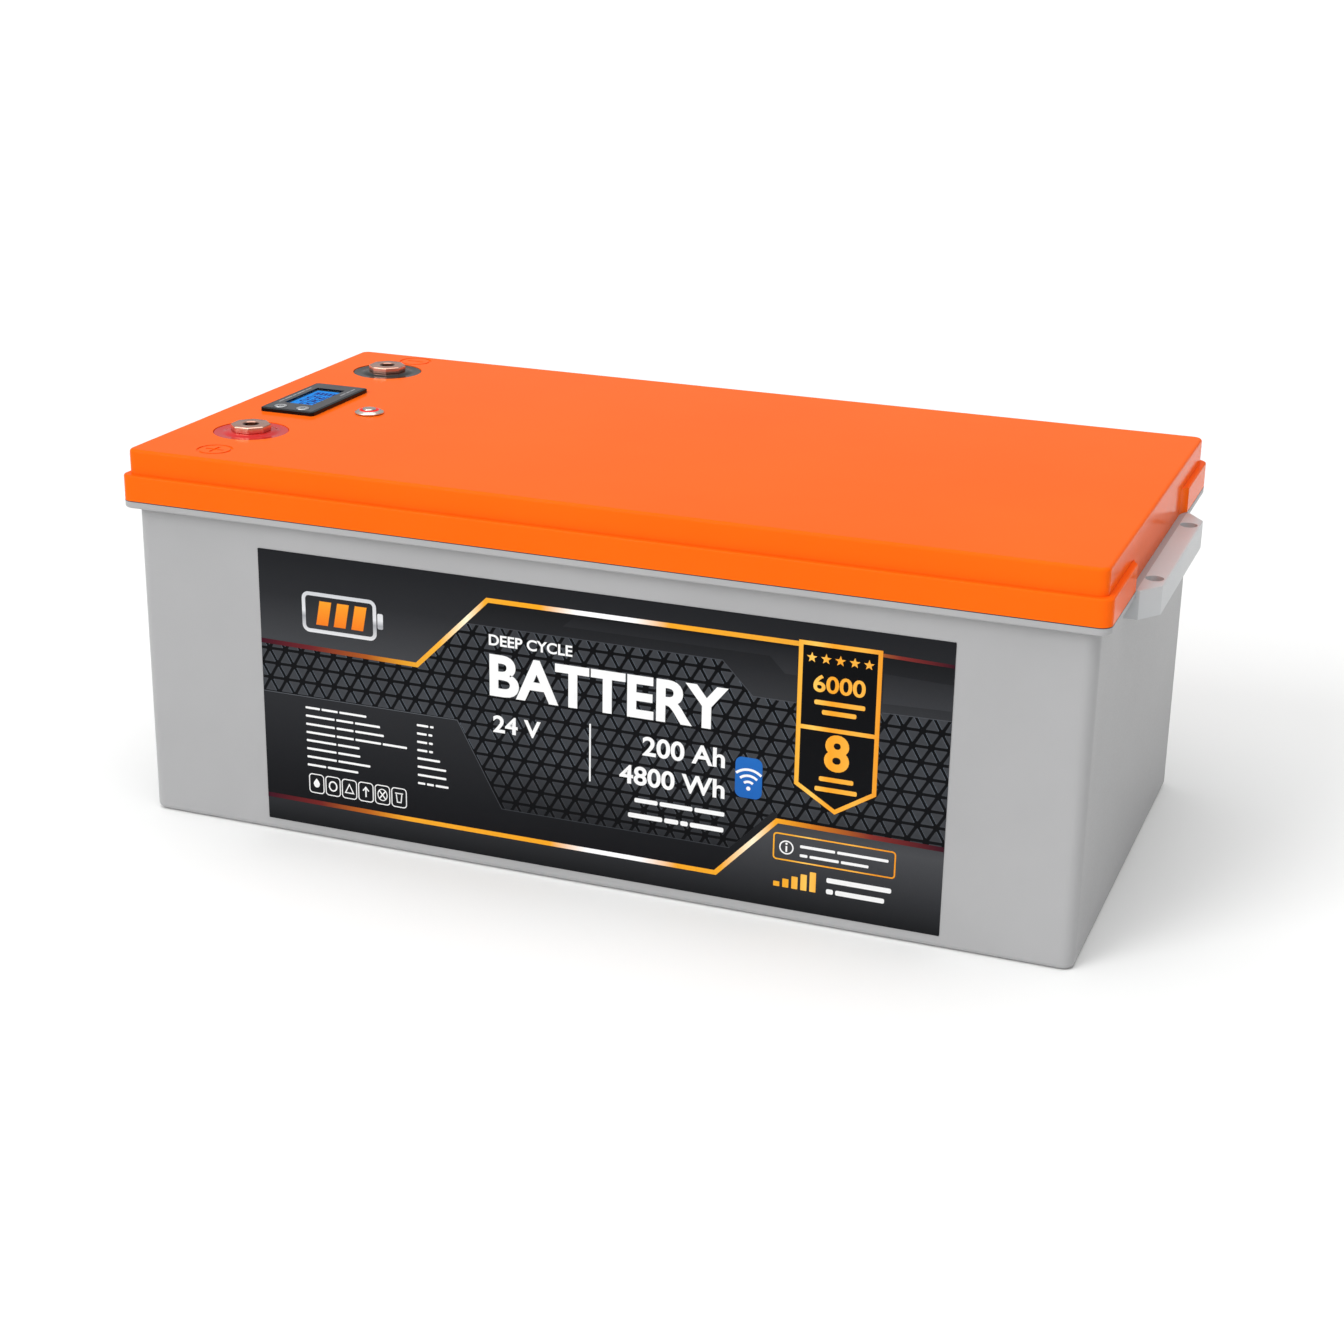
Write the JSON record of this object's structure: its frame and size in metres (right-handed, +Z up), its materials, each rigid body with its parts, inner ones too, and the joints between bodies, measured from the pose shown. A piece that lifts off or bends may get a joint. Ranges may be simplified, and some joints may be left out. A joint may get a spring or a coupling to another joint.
{
  "type": "deep cycle battery",
  "caption": "Sealed deep cycle battery: grey case with rope-hole brackets, orange lid, copper threaded terminals, charge display, lit power button and a prismatic cell pack inside.",
  "frame": {"origin": "centre of the base, midway between the ends and between the sides", "axes": "+X along the length, away from the terminals; +Y to the back, with the label facing -Y; +Z up"},
  "size_m": [0.541, 0.269, 0.207],
  "materials": {
    "case_plastic": "satin moulded grey ABS",
    "lid_plastic": "glossy moulded orange ABS",
    "sealant": "cured black bead",
    "label_film": "printed film, satin",
    "red_plastic": "glossy moulded red",
    "black_plastic": "glossy moulded black",
    "copper": "turned copper, bright",
    "rubber_black": "matt",
    "steel": "zinc plated",
    "display_plastic": "fine matt black",
    "window_clear": "clear, polished",
    "screen_blue": "blue lit liquid crystal",
    "circuit_board": "green solder mask",
    "silver_metal": "satin chrome",
    "button_metal": "turned stainless steel",
    "light_red": "red lit light guide",
    "cable_black": "silicone sheath",
    "cable_red": "silicone sheath",
    "cable_yellow": "thin insulated wires",
    "post_metal": "machined",
    "plate_metal": "mill finish",
    "insulating_sheet": "thin epoxy sheet",
    "insulating_board": "thin epoxy board",
    "foam": "closed-cell foam",
    "cell_film": "aluminium can in blue film",
    "brass": "turned"
  },
  "bodies": {
    "root": {"container": "case_plastic", "left_bracket": "case_plastic", "right_bracket": "case_plastic", "lid": "lid_plastic", "lid_seal": "sealant", "front_label": "label_film", "plus_surround": "red_plastic", "minus_surround": "black_plastic", "plus_terminal": "copper", "minus_terminal": "copper", "surround_gaskets": "rubber_black", "terminal_washers": "steel", "terminal_nuts": "steel", "display_frame": "display_plastic", "display_window": "window_clear", "display_screen": "screen_blue", "display_board": "circuit_board", "display_lead": "cable_black", "power_button_body": "button_metal", "power_button_seal": "rubber_black", "power_button_light": "light_red", "power_button_spring": "steel", "power_button_nut": "steel", "power_button_lead": "cable_red", "cell_1": "cell_film", "cell_2": "cell_film", "cell_3": "cell_film", "cell_4": "cell_film", "cell_5": "cell_film", "cell_6": "cell_film", "cell_7": "cell_film", "cell_8": "cell_film", "cell_posts": "post_metal", "cell_vents": "post_metal", "cell_sheets": "insulating_sheet", "busbars": "copper", "busbar_nuts": "steel", "left_end_plate": "plate_metal", "right_end_plate": "plate_metal", "pack_straps": "steel", "base_pad": "foam", "front_pad": "foam", "end_pad": "foam", "busbar_cover": "insulating_board", "bms_board": "circuit_board", "bms_heatsink": "plate_metal", "bms_transistors": "black_plastic", "bms_standoffs": "brass", "radio_module": "circuit_board", "plus_cable": "cable_red", "minus_cable": "cable_black", "pack_cable": "cable_black", "balance_harness": "cable_yellow"},
    "left_key": {"display_left_key": "silver_metal"},
    "right_key": {"display_right_key": "silver_metal"},
    "power_cap": {"power_button_cap": "button_metal"}
  },
  "joints": [
    {"name": "power_press", "type": "slide", "parent": "root", "child": "power_cap", "axis": [0, 0, -1], "range_m": [0, 0.0015], "stiffness_N_per_m": 600, "springref_m": -0.0004, "deforming": ["power_button_spring"]},
    {"name": "left_key_press", "type": "slide", "parent": "root", "child": "left_key", "axis": [0, 0, -1], "range_m": [0, 0.0004], "stiffness_N_per_m": 500, "springref_m": -0.0004},
    {"name": "right_key_press", "type": "slide", "parent": "root", "child": "right_key", "axis": [0, 0, -1], "range_m": [0, 0.0004], "stiffness_N_per_m": 500, "springref_m": -0.0004}
  ]
}
